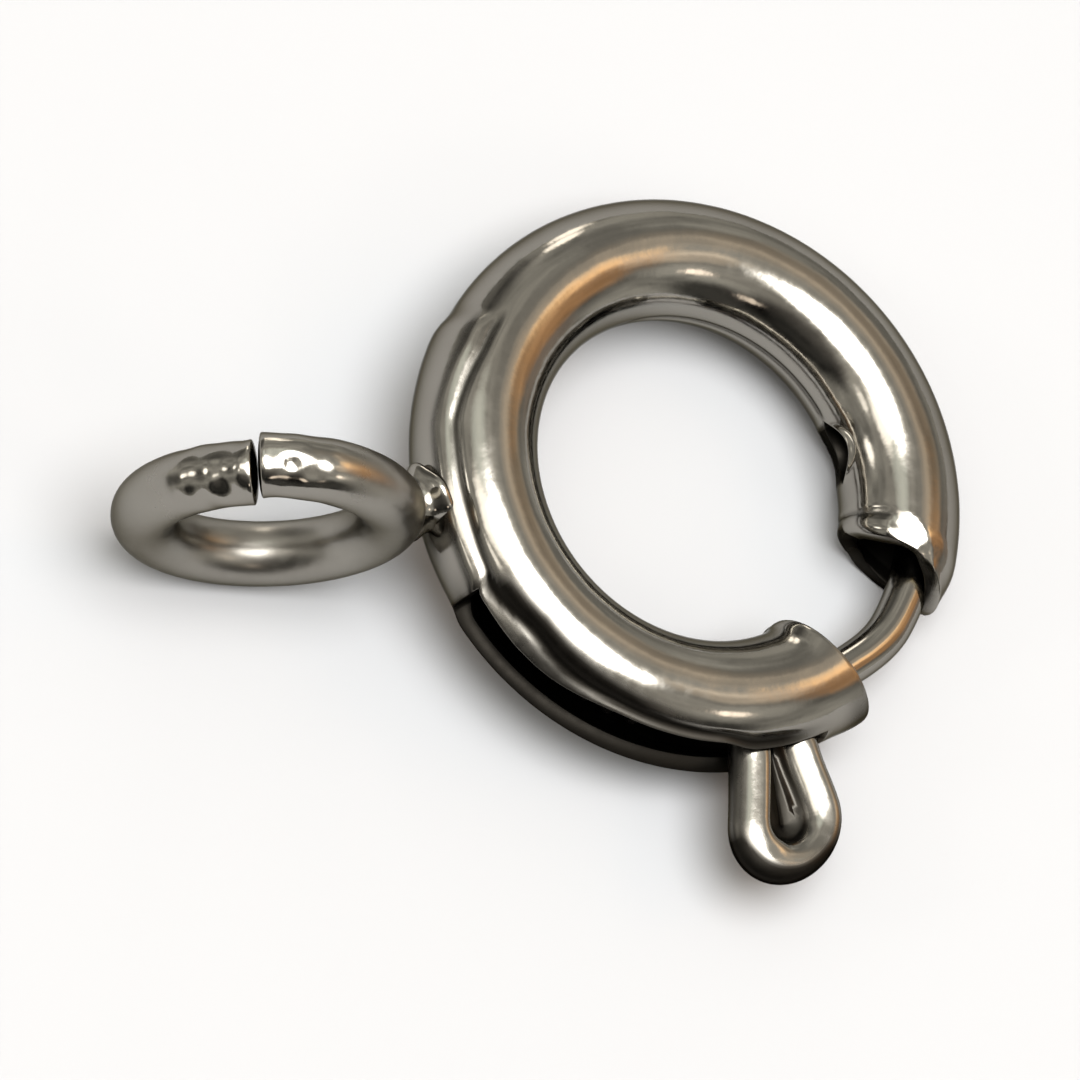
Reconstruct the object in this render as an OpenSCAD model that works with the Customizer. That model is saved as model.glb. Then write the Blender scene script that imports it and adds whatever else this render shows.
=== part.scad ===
// Spring ring clasp: a hollow C-shaped ring with a soldered eye, a sliding bolt and its coil spring.
// The ring is drawn flat round its own centre, with the eye at -X and the mouth at the lower right.
// The whole clasp is then laid down as it rests on a table, on the rim of the eye and on the ring.

/* [Ring] */
// Outside diameter of the ring
ring_d = 6.15; // [5.6:0.05:12]
// Outside diameter of the tube that the ring is rolled from
tube_d = 1.28; // [1.24:0.02:1.6]
// Thickness of the tube's sheet
tube_wall = 0.17; // [0.1:0.01:0.19]

/* [Mouth] */
// Direction of the middle of the mouth, seen from above
mouth_at = -46.5; // [-60:0.5:-30]
// Opening between the two ends of the tube
mouth_gap = 1.6; // [1:0.1:2]
// How far the lower end of the tube is belled out
lower_flare = 0.05; // [0.01:0.01:0.1]
// Length of that bell
flare_len = 0.3; // [0.2:0.05:0.5]
// How much wider the bore is at both mouths, all round
mouth_lead = 0.05; // [0.03:0.01:0.08]
// How much further the outer wall reaches at the upper mouth, as a slant of its end
upper_slant = 28; // [10:1:32]
// How much further the outer wall reaches at the lower mouth, as a slant of its end
lower_slant = 10; // [0:1:20]

/* [Slot] */
// Height of the slot that the trigger slides in
slot_h = 0.62; // [0.58:0.02:0.7]
// How far the slot lies above the middle of the tube
slot_rise = 0.03; // [0:0.01:0.04]
// Play between the closed trigger and the slot's end by the mouth
slot_play_shut = 0.05; // [0.03:0.01:0.1]
// Play between the trigger slid back and the slot's other end
slot_play_open = 0.3; // [0.06:0.02:0.4]
// How far the lip under the slot stands out of the tube
lip_rise = 0.1; // [0.05:0.01:0.16]

/* [Seam] */
// How far the closed seam by the eye stands proud
seam_rise = 0.06; // [0.02:0.01:0.08]
// Width of the groove along the seam's upper edge
groove_w = 0.08; // [0.04:0.01:0.12]
// Length of the split in the inner wall, near the upper mouth
split_len = 0.9; // [0.5:0.05:1.2]
// Height of that split
split_h = 0.46; // [0.1:0.02:0.5]
// How far the split lies below the middle of the tube
split_drop = 0.02; // [0:0.01:0.1]
// Distance of the split from the upper mouth
split_from = 0.8; // [0.4:0.05:1]

/* [Eye] */
// Outside diameter of the eye
eye_d = 3.24; // [2.6:0.02:4]
// Thickness of the eye's wire
eye_wire = 0.68; // [0.5:0.02:0.8]
// Gap between the ends of the eye's wire
eye_gap = 0.06; // [0.04:0.01:0.2]
// Length of the solder neck between the eye and the tube
neck_len = 0.2; // [0.1:0.02:0.6]
// Thickness of the solder neck
neck_d = 0.46; // [0.3:0.02:0.6]
// How far the eye is turned out of line with the ring's centre
eye_turn = -11; // [-15:1:15]
// Where the gap in the eye's wire is, up from the end away from the ring
eye_gap_at = 62; // [20:1:110]

/* [Bolt] */
// Thickness of the bolt's wire
bolt_wire = 0.45; // [0.36:0.01:0.46]
// How far the bolt slides back, as an angle about the ring's centre
bolt_travel = 60; // [40:1:62]
// Depth of the closed bolt in the upper mouth
bolt_reach = 0.45; // [0.2:0.05:0.8]
// Width of the trigger at its neck
trigger_neck_w = 1; // [0.96:0.01:1.1]
// Width of the trigger at its round head
trigger_head_w = 1.3; // [1.2:0.01:1.5]
// How far the trigger stands out of the tube
trigger_out = 1.36; // [1.1:0.02:2]
// Angle between the mouth's lower end and the trigger
trigger_back = 18; // [17:0.5:30]
// Lean of the trigger away from the mouth
trigger_lean = 3; // [0:1:8]

/* [Spring] */
// Thickness of the spring's wire
spring_wire = 0.11; // [0.08:0.01:0.14]
// Number of turns of the spring
spring_turns = 20; // [12:1:24]
// Arc that the spring takes up, behind the closed bolt
spring_arc = 118; // [100:1:130]
// Gap between the spring and the bore round it
spring_play = 0.07; // [0.04:0.01:0.1]

/* [Hidden] */
$fn = 64;

// The ring's own sizes
tube_r = tube_d / 2;
ring_r = ring_d / 2 - tube_r;
bore_r = tube_r - tube_wall;
per_mm = 180 / (PI * ring_r);
upper_end = mouth_at + mouth_gap / 2 * per_mm;
lower_end = mouth_at - mouth_gap / 2 * per_mm;

// How far each slanted end reaches past its middle, with a little more to cut away
trim_more = tube_d / 32;
upper_reach = tube_r * tan(upper_slant) + trim_more;
lower_reach = (tube_r + 2 * lower_flare) * tan(lower_slant) + trim_more;

// The bell, the lip and the seam band grow out of the middle of the tube's wall
wall_r = tube_r - tube_wall / 2;
bell_in = tube_wall / 6;

// The bolt runs nearer to the outside of the bore, as its spring presses it there
bolt_r = bolt_wire / 2;
bolt_outward = 0.4;
bolt_path_r = ring_r + (bore_r - bolt_r) * bolt_outward;
bolt_tip = upper_end + bolt_reach * per_mm;
bend_r = 0.6 * bolt_wire;
leg_half = (trigger_neck_w - bolt_wire) / 2;
head_r = (trigger_head_w - bolt_wire) / 2;
trigger_top = ring_d / 2 + trigger_out - bolt_r;
trigger_at = lower_end - trigger_back;
tail_len = 1.1 * bolt_wire;

// The slot ends clear of the trigger, closed and slid back
slot_start = trigger_at + asin((trigger_neck_w / 2 + slot_play_shut) / (ring_r + bore_r));
slot_end = trigger_at - bolt_travel - asin((trigger_neck_w / 2 + slot_play_open) / (ring_r + bore_r));

// The spring follows the bolt's tail, in the middle of the bore
tail_end = trigger_at - asin((leg_half + bend_r) / bolt_path_r) - tail_len * per_mm;
spring_coil_r = bore_r - spring_play - spring_wire / 2;
spring_seat = bolt_wire / 4;
spring_from = tail_end - spring_seat * per_mm;
spring_to = spring_from - spring_arc;

// The closed seam runs from the slot past the eye, with its groove a little longer at both ends
seam_to = -218;
seam_top = 46;
seam_low = -60;
groove_past = groove_w / 2 * per_mm;

// The lip is a little shorter than the slot
lip_low = -80;
lip_short = tube_wall / 3 * per_mm;

// The eye stands across the ring's plane, turned a little out of line
eye_r = eye_wire / 2;
eye_ring_r = eye_d / 2 - eye_r;
eye_x = -(ring_d / 2 + neck_len + eye_d / 2);
eye_near = [eye_x + eye_ring_r * cos(eye_turn), eye_ring_r * sin(eye_turn)];
neck_root = polar(ring_r + wall_r, 180);
eye_gap_angle = eye_gap / eye_ring_r * 180 / PI;

// How the clasp lies: the eye's rim and the far side of the ring are both on the table
rest_pitch = asin((eye_d / 2 - tube_r) / (ring_r - eye_x));
rest_lift = tube_r + ring_r * sin(rest_pitch);

// The middle of the whole clasp, which stands over the origin
eye_lean = sin(eye_turn) * cos(rest_pitch);
low_x = eye_x * cos(rest_pitch) - eye_ring_r * sqrt(1 - eye_lean * eye_lean) - eye_r;
high_x = ring_r * cos(rest_pitch) + tube_r;
head_at = turned([trigger_top - head_r, 0], trigger_at - trigger_lean / 2);
low_y = head_at[1] - head_r - bolt_r;
high_y = ring_d / 2;

function polar(r, a) = [r * cos(a), r * sin(a)];
function turned(p, a) = [p[0] * cos(a) - p[1] * sin(a), p[0] * sin(a) + p[1] * cos(a)];

// Points along an arc about a centre, both ends included
function arc_points(centre, r, from, to, steps) =
  [for (i = [0:steps]) centre + polar(r, from + (to - from) * i / steps)];

// A ring's arc with the flat section of its children, from one angle to another
module arc(from, to) {
  rotate([0, 0, from]) rotate_extrude(angle = to - from) children();
}

// The full section of the tube, moved outwards by a distance
module section(r, out = 0) {
  translate([ring_r + out, 0]) circle(r);
}

// The part of a section outside the middle of the wall, between two angles round the tube
module band(from, to) {
  steps = 6;
  difference() {
    intersection() {
      children();
      translate([ring_r, 0])
        polygon(concat([[0, 0]],
          [for (i = [0:steps]) polar(tube_d, from + (to - from) * i / steps)]));
    }
    section(wall_r);
  }
}

// Places its children on the tube's middle line at a mouth, with +Z into the tube
module at_mouth(angle, way, slant = 0) {
  rotate([0, 0, angle]) translate([ring_r, 0, 0]) rotate([-90 * way, 0, 0])
    rotate([0, slant, 0]) children();
}

// What is cut off past the slanted end of the tube, and the wider start of the bore
module mouth_trim() {
  depth = mouth_gap / 2;
  translate([-tube_d, -tube_d, -depth]) cube([2 * tube_d, 2 * tube_d, depth]);
  sphere(bore_r + mouth_lead);
}

// The bell round the lower end of the tube, grown out of the tube's wall
module bell() {
  slope = (lower_flare + bell_in) / flare_len;
  rotate_extrude()
    polygon([
      [wall_r, -lower_reach],
      [tube_r + lower_flare + slope * lower_reach, -lower_reach],
      [tube_r - bell_in, flare_len],
      [wall_r, flare_len]]);
}

// The slot in the outer wall
module slot() {
  arc(slot_end, slot_start) translate([ring_r, slot_rise - slot_h / 2]) square([tube_d, slot_h]);
}

// The groove along the seam's upper edge
module groove() {
  arc(seam_to - groove_past, slot_end + groove_past)
    translate([ring_r, 0] + polar(tube_r, seam_top)) circle(groove_w / 2);
}

module tube() {
  difference() {
    union() {
      arc(upper_end - (upper_reach + trim_more) * per_mm,
          lower_end + (lower_reach + trim_more) * per_mm + 360)
        difference() {
          section(tube_r);
          section(bore_r);
        }
      // The closed seam stands proud beside the eye, and the lip under the slot stands out
      arc(seam_to, slot_end - lip_short) band(seam_low, seam_top) section(tube_r + seam_rise);
      arc(slot_end + lip_short, slot_start - lip_short) band(lip_low, 0) section(tube_r, lip_rise);
      at_mouth(lower_end, -1) bell();
    }
    at_mouth(upper_end, 1, upper_slant) mouth_trim();
    at_mouth(lower_end, -1, lower_slant) mouth_trim();
    slot();
    groove();
    split();
  }
}

// The split in the inner wall, pointed at both ends
module split() {
  bow = (split_len * split_len / split_h + split_h) / 4;
  split_at = upper_end + (split_from + split_len / 2) * per_mm;
  rotate([0, 0, split_at]) translate([ring_r, 0, -split_drop]) rotate([0, -90, 0])
    linear_extrude(tube_d) intersection() {
      translate([bow - split_h / 2, 0]) circle(bow);
      translate([split_h / 2 - bow, 0]) circle(bow);
    }
}

// The eye's wire, with its two ends apart at the top, and the solder neck
module eye() {
  translate([eye_x, 0, 0]) rotate([0, 0, eye_turn]) rotate([90, 0, 0])
    rotate([0, 0, 180 - eye_gap_at + eye_gap_angle / 2])
      rotate_extrude(angle = 360 - eye_gap_angle) translate([eye_ring_r, 0]) circle(eye_r);
  neck = eye_near - neck_root;
  translate([neck_root[0], neck_root[1], 0]) rotate([0, 90, atan2(neck[1], neck[0])])
    cylinder(h = norm(neck), d = neck_d);
}

module ring_body() {
  color("silver") laid() {
    tube();
    eye();
  }
}

// The bolt's middle line: from its tip along the ring, out round the trigger, and back to its tail
function bolt_route() = let (
    side = asin((leg_half + bend_r) / bolt_path_r),
    reach = bolt_path_r * cos(side),
    root = reach + bend_r,
    head = trigger_top - head_r,
    // The trigger is drawn along +X, and then turned to its place
    front = concat(
      arc_points([root, leg_half + bend_r], bend_r, 180, 270, 8),
      arc_points([head, 0], head_r, 60, -60, 16)),
    back = arc_points([root, -leg_half - bend_r], bend_r, 90, 180, 8),
    leant = [for (p = front) let (t = max(0, p[0] - root) / (head - root))
      turned(p, -trigger_lean * t)])
  concat(
    arc_points([0, 0], bolt_path_r, bolt_tip, trigger_at + side, 48),
    [for (p = concat(leant, back)) turned(p, trigger_at)],
    arc_points([0, 0], bolt_path_r, trigger_at - side, tail_end, 8));

// A round wire along a flat route, with a domed end at each side
module flat_wire(route, r, sides) {
  last = len(route) - 1;
  dome = [0.3, 0.7, 0.92];
  along = [for (i = [0:last]) let (d = route[min(i + 1, last)] - route[max(i - 1, 0)]) d / norm(d)];
  thick = [for (i = [0:last]) let (e = min(i, last - i)) e < len(dome) ? dome[e] * r : r];
  points = [for (i = [0:last]) for (s = [0:sides - 1])
    let (across = thick[i] * cos(360 * s / sides), up = thick[i] * sin(360 * s / sides))
    [route[i][0] - along[i][1] * across, route[i][1] + along[i][0] * across, up]];
  walls = [for (i = [0:last - 1]) for (s = [0:sides - 1]) let (n = (s + 1) % sides)
    [i * sides + s, (i + 1) * sides + s, (i + 1) * sides + n, i * sides + n]];
  caps = [[for (s = [0:sides - 1]) s], [for (s = [sides - 1:-1:0]) last * sides + s]];
  polyhedron(points, concat(walls, caps), convexity = 8);
}

module bolt() {
  color("silver") laid() flat_wire(bolt_route(), bolt_r, 16);
}

// A point of the spring's middle line, by its share of the whole
function coil_point(t) = let (
    a = spring_from + (spring_to - spring_from) * t,
    b = 360 * spring_turns * t,
    r = ring_r + spring_coil_r * cos(b))
  [r * cos(a), r * sin(a), spring_coil_r * sin(b)];

module spring() {
  per_turn = 12;
  sides = 6;
  last = spring_turns * per_turn;
  points = [for (i = [0:last]) for (s = [0:sides - 1]) let (
      t = i / last,
      a = spring_from + (spring_to - spring_from) * t,
      middle = ring_r * [cos(a), sin(a), 0],
      out = (coil_point(t) - middle) / spring_coil_r,
      ahead = coil_point(t + 0.001) - coil_point(t - 0.001),
      side = cross(ahead / norm(ahead), out),
      w = 360 * s / sides)
    coil_point(t) + spring_wire / 2 * (cos(w) * out + sin(w) * side)];
  walls = [for (i = [0:last - 1]) for (s = [0:sides - 1]) let (n = (s + 1) % sides)
    [i * sides + s, i * sides + n, (i + 1) * sides + n, (i + 1) * sides + s]];
  caps = [[for (s = [sides - 1:-1:0]) s], [for (s = [0:sides - 1]) last * sides + s]];
  color("gray") laid() polyhedron(points, concat(walls, caps), convexity = 20);
}

// Lays the clasp down on the table, with its middle over the origin
module laid() {
  translate([-(low_x + high_x) / 2, -(low_y + high_y) / 2, rest_lift])
    rotate([0, rest_pitch, 0]) children();
}

ring_body();
bolt();
spring();
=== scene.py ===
# %% [markdown]
# # A spring ring clasp
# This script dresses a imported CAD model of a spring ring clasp: the small sprung ring that closes
# a necklace or a bracelet. The CAD part is loaded first and stays as it is. The pieces made here
# together take the place of its solids, in the same place and at the same size, with the rounded
# edges, the soldering and the polish of the real thing. Sizes are in millimetres until a piece is
# done, and are then laid down and turned into metres in one step.

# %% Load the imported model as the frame
import math

import bmesh
import bpy
from mathutils import Matrix, Vector, noise


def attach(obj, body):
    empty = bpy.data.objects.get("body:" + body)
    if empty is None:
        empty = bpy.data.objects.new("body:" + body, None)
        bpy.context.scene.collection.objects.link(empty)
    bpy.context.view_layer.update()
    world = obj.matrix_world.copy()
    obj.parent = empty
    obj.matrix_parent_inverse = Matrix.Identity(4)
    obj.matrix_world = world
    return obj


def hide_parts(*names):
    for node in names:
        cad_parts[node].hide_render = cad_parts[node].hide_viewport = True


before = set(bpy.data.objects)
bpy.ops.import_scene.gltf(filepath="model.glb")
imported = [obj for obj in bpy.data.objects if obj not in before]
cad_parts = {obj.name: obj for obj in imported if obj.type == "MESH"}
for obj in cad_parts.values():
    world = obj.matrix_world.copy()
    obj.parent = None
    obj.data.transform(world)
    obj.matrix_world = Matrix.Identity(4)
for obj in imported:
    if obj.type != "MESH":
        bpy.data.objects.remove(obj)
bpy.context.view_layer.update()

# %% [markdown]
# ## The clasp's own sizes
# The ring is worked on flat, round its own centre, with the eye towards -X: that is how a maker
# would draw it. An angle round the ring is called theta, an angle round the tube's own middle is
# called psi (0 is outwards and 90 is up), and rho is the distance from the tube's middle. Lengths
# are in mm and angles in degrees, and PER_MM is the degrees of theta that one mm takes.

# %% Sizes of the ring and its mouth
RING_D, TUBE_D, TUBE_WALL = 6.15, 1.28, 0.17
TUBE_R = TUBE_D / 2
RING_R = RING_D / 2 - TUBE_R
BORE_R = TUBE_R - TUBE_WALL
PER_MM = 180 / (math.pi * RING_R)
MOUTH_AT, MOUTH_GAP = -46.5, 1.6
UPPER_END = MOUTH_AT + MOUTH_GAP / 2 * PER_MM
LOWER_END = MOUTH_AT - MOUTH_GAP / 2 * PER_MM + 360
LOWER_SLANT = 10
print("the tube runs from", round(UPPER_END, 2), "to", round(LOWER_END, 2), "degrees")

# %% Sizes of the bolt and of its slot
BOLT_WIRE, BOLT_REACH, BOLT_TRAVEL = 0.45, 0.45, 60
BOLT_R = BOLT_WIRE / 2
# The share of its play by which the bolt runs outwards of the tube's middle
BOLT_OUTWARD = 0.4
BOLT_PATH_R = RING_R + (BORE_R - BOLT_R) * BOLT_OUTWARD
BOLT_TIP = UPPER_END + BOLT_REACH * PER_MM
TRIGGER_NECK_W, TRIGGER_HEAD_W, TRIGGER_OUT, TRIGGER_LEAN = 1.0, 1.3, 1.36, 3
TRIGGER_BACK = 18
TRIGGER_AT = LOWER_END - 360 - TRIGGER_BACK

SLOT_H, SLOT_RISE = 0.62, 0.03
# The trigger leans away from the slot's shut end, so the slot can stop a little short there
SLOT_PLAY_OPEN, SLOT_PLAY_SHUT = 0.3, -0.03
SLOT_FROM = TRIGGER_AT + 360 - BOLT_TRAVEL - math.degrees(
    math.asin((TRIGGER_NECK_W / 2 + SLOT_PLAY_OPEN) / (RING_R + BORE_R)))
SLOT_TO = TRIGGER_AT + 360 + math.degrees(
    math.asin((TRIGGER_NECK_W / 2 + SLOT_PLAY_SHUT) / (RING_R + BORE_R)))
SLOT_TOP = math.degrees(math.asin((SLOT_RISE + SLOT_H / 2) / TUBE_R))
SLOT_LOW = math.degrees(math.asin((SLOT_RISE - SLOT_H / 2) / TUBE_R))
print("slot from", round(SLOT_FROM, 2), "to", round(SLOT_TO, 2), "degrees; its edges at",
      round(SLOT_TOP, 1), "and", round(SLOT_LOW, 1), "round the tube")

# %% [markdown]
# ## Laying the clasp down
# A clasp on a table rests on the far rim of its eye and on the far side of its ring, so it lies a
# little tilted. One matrix turns the flat drawing to that place and makes metres of millimetres.
# The eye's sizes come first, since they set the tilt.

# %% Sizes of the eye and of its neck
EYE_D, EYE_WIRE, NECK_LEN = 3.24, 0.68, 0.2
EYE_R = EYE_WIRE / 2
EYE_RING_R = EYE_D / 2 - EYE_R
EYE_X = -(RING_D / 2 + NECK_LEN + EYE_D / 2)
EYE_TURN, EYE_GAP_AT = -11, 62
print("the eye's middle lies at x", round(EYE_X, 3))

# %% One matrix from the flat ring in mm to the table in metres
REST_PITCH = math.asin((EYE_D / 2 - TUBE_R) / (RING_R - EYE_X))
# Where the ring's middle then lies, in mm
REST_MOVE = Vector((1.69741, 0.672283, 0.965553))
TURNED = Matrix.Rotation(REST_PITCH, 4, "Y")
LAID = Matrix.Scale(0.001, 4) @ Matrix.Translation(REST_MOVE) @ TURNED
# The way from the flat ring towards the camera
CAMERA_WAY = Vector((-0.4537, -0.25, 0.8553))
print("the clasp rests tilted by", round(math.degrees(REST_PITCH), 3), "degrees")

# %% [markdown]
# ## Places on the ring
# Most forms of the clasp follow the tube, so one function goes from theta, psi and rho to a point,
# and another goes back. The others rise and fall between two values: they shape the forms.

# %% Small helpers for places on the ring
def on_ring(theta, psi, rho):
    """The point at theta round the ring, psi round the tube and rho from the tube's middle."""
    t, p = math.radians(theta), math.radians(psi)
    reach = RING_R + rho * math.cos(p)
    return Vector((reach * math.cos(t), reach * math.sin(t), rho * math.sin(p)))


def round_ring(point):
    """Theta, psi and rho of a point. Psi lies between -180 and 180."""
    theta = math.degrees(math.atan2(point.y, point.x))
    if theta < MOUTH_AT:
        theta += 360
    out = math.hypot(point.x, point.y) - RING_R
    return theta, math.degrees(math.atan2(point.z, out)), math.hypot(out, point.z)


def ramp(x, start, end):
    """0 before start, 1 past end, and a smooth way between them. Start may be the larger one."""
    t = min(1, max(0, (x - start) / (end - start)))
    return t * t * (3 - 2 * t)


def slope(x, start, end):
    """0 before start, 1 past end, and a straight way between them."""
    return min(1, max(0, (x - start) / (end - start)))


def hill(x, top, half):
    """1 at the top, and down to nothing on both sides of it."""
    return math.exp(-((x - top) / half) ** 2)


def along_line(points, x):
    """Follows a line of (x, y) points."""
    for (x0, y0), (x1, y1) in zip(points, points[1:]):
        if x <= x1:
            return y0 + (y1 - y0) * max(0, x - x0) / (x1 - x0)
    return points[-1][1]


def along_curve(points, x, reach=14):
    """Follows a line of (x, y) points with its corners rounded."""
    steps = (-1, -0.5, 0, 0.5, 1)
    return sum(along_line(points, x + reach * step) for step in steps) / len(steps)


print("there and back:", [round(value, 3) for value in round_ring(on_ring(200, 30, TUBE_R))])


# %% [markdown]
# ## Helpers that sweep a loop of edges
# Nearly everything here is a wire or a tube, so a loop of edges is swept along the piece's route.
# A bend is a spin about the bend's centre, and a straight is an extrusion. The loop that one sweep
# ends in is where the next one starts, so a route of bends and straights becomes one closed skin.

# %% Sweeping, doming and finishing
def edges_of(geom):
    """The edges among some mesh parts."""
    return [g for g in geom if isinstance(g, bmesh.types.BMEdge)]


def verts_of(geom):
    """The points among some mesh parts."""
    return [g for g in geom if isinstance(g, bmesh.types.BMVert)]


def start_loop(bm, centre, radius, sides, turn=0):
    """A loop of edges that stands across the Y direction, turned about Z by an angle."""
    place = (Matrix.Rotation(math.radians(turn), 4, "Z") @ Matrix.Translation(centre)
             @ Matrix.Rotation(math.radians(90), 4, "X"))
    made = bmesh.ops.create_circle(bm, segments=sides, radius=radius, matrix=place)
    return made["verts"] + list({e for v in made["verts"] for e in v.link_edges})


def sweep_bend(bm, loop, centre, turn, step):
    """Spins a loop about Z round a centre by an angle, in steps of about so many mm or degrees."""
    made = bmesh.ops.spin(bm, geom=verts_of(loop) + edges_of(loop), cent=centre, axis=(0, 0, 1),
                          angle=math.radians(turn), steps=max(2, round(abs(turn) / step)))
    return made["geom_last"]


def sweep_straight(bm, loop, way, steps):
    """Extrudes a loop along a vector."""
    for _ in range(steps):
        made = bmesh.ops.extrude_edge_only(bm, edges=edges_of(loop))["geom"]
        loop = verts_of(made) + edges_of(made)
        bmesh.ops.translate(bm, vec=Vector(way) / steps, verts=verts_of(loop))
    return loop


def dome_end(bm, loop, depth, rings=7):
    """Closes a loop with a rounded end that stands out by a depth."""
    ends = verts_of(loop)
    middle = sum((v.co for v in ends), Vector()) / len(ends)
    inside = sum((o.co for v in ends for e in v.link_edges for o in e.verts), Vector())
    inside /= sum(2 * len(v.link_edges) for v in ends)
    way = (middle - inside).normalized()
    size = 1
    for i in range(1, rings + 1):
        made = bmesh.ops.extrude_edge_only(bm, edges=edges_of(loop))["geom"]
        loop = verts_of(made) + edges_of(made)
        turn = math.pi / 2 * i / (rings + 1)
        to_size = math.cos(turn)
        rise = depth * (math.sin(turn) - math.sin(math.pi / 2 * (i - 1) / (rings + 1)))
        centre = sum((v.co for v in verts_of(loop)), Vector()) / len(ends)
        for v in verts_of(loop):
            v.co = centre + (v.co - centre) * (to_size / size) + way * rise
        size = to_size
    bmesh.ops.contextual_create(bm, geom=edges_of(loop))
    return loop


def finish_piece(name, bm, material, body, node):
    """Lays a mesh down on the table, smooths its shading and puts it in the CAD node's place."""
    bmesh.ops.transform(bm, matrix=LAID, verts=bm.verts)
    mesh = bpy.data.meshes.new(name)
    bm.to_mesh(mesh)
    bm.free()
    mesh.shade_smooth()
    mesh.materials.append(material)
    piece = bpy.data.objects.new(name, mesh)
    bpy.context.scene.collection.objects.link(piece)
    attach(piece, body)
    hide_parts(node)
    mesh.calc_loop_triangles()
    print(name, "has", len(mesh.vertices), "points and", len(mesh.loop_triangles), "triangles")


# %% [markdown]
# ## Colours and nodes
# Colours are written as the hex values that an eye would pick, and Blender calculates in linear
# light, so one function turns them. Another adds a shader node with its settings and its links.

# %% Colour and node helpers
def linear(hex_colour):
    """An sRGB hex colour as linear red, green, blue and alpha."""
    parts = [int(hex_colour[i:i + 2], 16) / 255 for i in (1, 3, 5)]
    return [c / 12.92 if c <= 0.04045 else ((c + 0.055) / 1.055) ** 2.4 for c in parts] + [1]


def add_node(tree, kind, settings=None, **inputs):
    """Adds a node. An input is a value, or the socket that it comes from."""
    node = tree.nodes.new(kind)
    for key, value in (settings or {}).items():
        setattr(node, key, value)
    for key, value in inputs.items():
        named = [s for s in node.inputs if s.name.replace(" ", "_") == key.rstrip("0123456789")]
        if not named:
            raise ValueError(f"{kind} has no input {key}")
        nth = int(key[len(key.rstrip("0123456789")):] or 0)
        socket = named[nth]
        if isinstance(value, bpy.types.NodeSocket):
            tree.links.new(value, socket)
        else:
            socket.default_value = value
    return node


# %% [markdown]
# ## The metal
# Clasps of this kind are steel or nickel-plated brass, tumbled with small steel shot until they
# shine. A tumbled surface is bright but never flat: it is a little wavy over half a millimetre or
# so, and carries a haze of tiny dents and scratches, so that lamps reflect as soft streaks with
# uneven edges. The groundwork is a Principled BSDF with full metallic, a low roughness, and two
# layers of bump. Shade is painted near-black, with more roughness, into crevices, the bore, cut
# edges and undersides; the mesh carries it as one attribute, and another says where the metal is
# duller. The edge tint darkens what is seen at a low angle.

# %% Polished steel of the ring and the bolt
MM = 0.001
CLOUD_MM = 1.3
# The near-black colour of painted shade and the roughness it adds, and the roughness added where
# the metal is duller
PAINTED_SHADE_COLOUR, PAINTED_SHADE_ROUGHER, DULL_ROUGHER = "#211f1c", 0.3, 0.2


def metal(name, colour, film, edge, rough_low, rough_high, wave_mm, wave_height_mm, haze_mm,
          haze_height_mm):
    """Tumbled metal: soft waves, a haze of tiny dents, and painted near-black shade where the mesh
    asks for it.
    """
    made = bpy.data.materials.new(name)
    made.use_nodes = True
    tree = made.node_tree
    tree.nodes.clear()
    place = add_node(tree, "ShaderNodeTexCoord").outputs["Object"]
    waves = add_node(tree, "ShaderNodeTexNoise", Vector=place, Scale=1 / (wave_mm * MM), Detail=1.0)
    haze = add_node(tree, "ShaderNodeTexNoise", Vector=place, Scale=1 / (haze_mm * MM), Detail=3.0)
    clouds = add_node(tree, "ShaderNodeTexNoise", Vector=place, Scale=1 / (CLOUD_MM * MM),
                      Detail=2.0)
    painted_shade = add_node(tree, "ShaderNodeAttribute", {"attribute_name": "painted_shade"})
    dull = add_node(tree, "ShaderNodeAttribute", {"attribute_name": "dull"})
    rough = add_node(tree, "ShaderNodeMapRange", Value=haze.outputs["Fac"], From_Min=0.35,
                     From_Max=0.65, To_Min=rough_low, To_Max=rough_high)
    rougher = add_node(tree, "ShaderNodeMath", {"operation": "MULTIPLY_ADD"},
                       Value=painted_shade.outputs["Fac"], Value1=PAINTED_SHADE_ROUGHER,
                       Value2=rough.outputs["Result"])
    rougher = add_node(tree, "ShaderNodeMath", {"operation": "MULTIPLY_ADD"},
                       Value=dull.outputs["Fac"], Value1=DULL_ROUGHER,
                       Value2=rougher.outputs["Value"])
    tint = add_node(tree, "ShaderNodeMix", {"data_type": "RGBA"}, Factor=clouds.outputs["Fac"])
    tint.inputs[6].default_value = linear(colour)
    tint.inputs[7].default_value = linear(film)
    # Painted shade: the colour is mixed towards near-black where the mesh's attribute asks for it
    dark = add_node(tree, "ShaderNodeMix", {"data_type": "RGBA"}, Factor=painted_shade.outputs["Fac"])
    tree.links.new(tint.outputs[2], dark.inputs[6])
    dark.inputs[7].default_value = linear(PAINTED_SHADE_COLOUR)
    low_bump = add_node(tree, "ShaderNodeBump", Height=waves.outputs["Fac"], Strength=1.0,
                        Distance=wave_height_mm * MM)
    bump = add_node(tree, "ShaderNodeBump", Height=haze.outputs["Fac"], Strength=1.0,
                    Distance=haze_height_mm * MM, Normal=low_bump.outputs["Normal"])
    shader = add_node(tree, "ShaderNodeBsdfPrincipled", Metallic=1.0, Base_Color=dark.outputs[2],
                      Specular_Tint=linear(edge), Roughness=rougher.outputs["Value"],
                      Normal=bump.outputs["Normal"])
    add_node(tree, "ShaderNodeOutputMaterial", Surface=shader.outputs["BSDF"])
    return made


# Steel keeps a slightly warm grey, with faint darker and browner clouds from handling
polished_steel = metal("polished_steel", "#9b9891", "#85817a", "#8e8c86", rough_low=0.08,
                       rough_high=0.15, wave_mm=0.7, wave_height_mm=0.013, haze_mm=0.12,
                       haze_height_mm=0.0012)
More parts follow.
